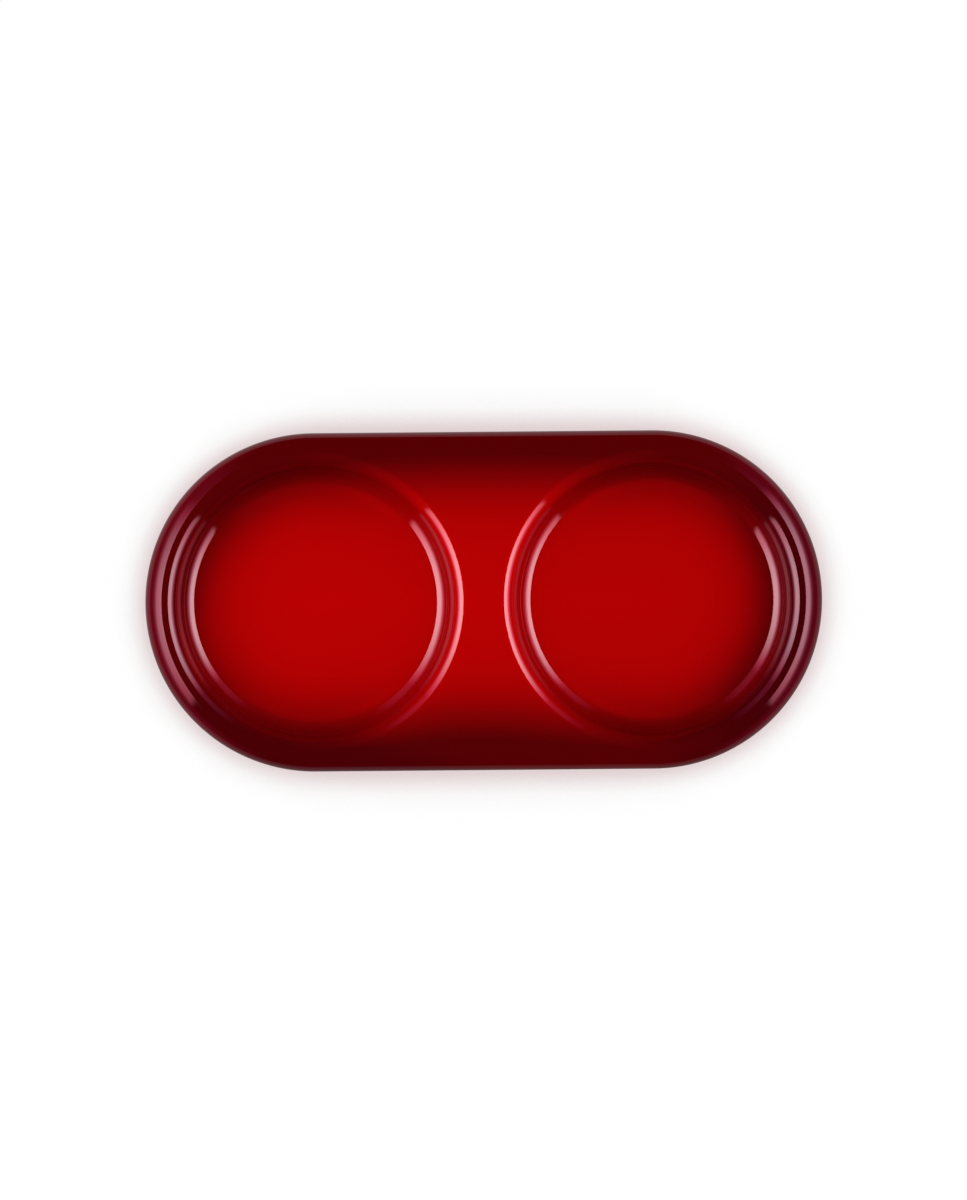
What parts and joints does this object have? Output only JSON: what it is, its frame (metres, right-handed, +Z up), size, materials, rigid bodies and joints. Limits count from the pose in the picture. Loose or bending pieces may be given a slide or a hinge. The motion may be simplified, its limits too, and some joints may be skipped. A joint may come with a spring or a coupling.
{
  "type": "mill tray",
  "caption": "Oblong glazed stoneware tray with round sunken wells that keep a pepper mill and a salt mill side by side on the table.",
  "frame": {"origin": "on the table, under the middle of the tray", "axes": "+X along the tray's length through the centres of both wells, +Y across it towards the back, +Z up"},
  "size_m": [0.18, 0.09, 0.016],
  "materials": {
    "bare_stoneware": "fired bare clay, buff with fine specks, matt",
    "red_glaze": "gloss glaze, bright red in the middle, shaded to dark burgundy at the rim and the outer wall",
    "base_red_glaze": "gloss glaze, even deep red"
  },
  "bodies": {
    "root": {"stoneware_body": "bare_stoneware", "upper_glaze": "red_glaze", "base_glaze": "base_red_glaze"}
  },
  "joints": []
}
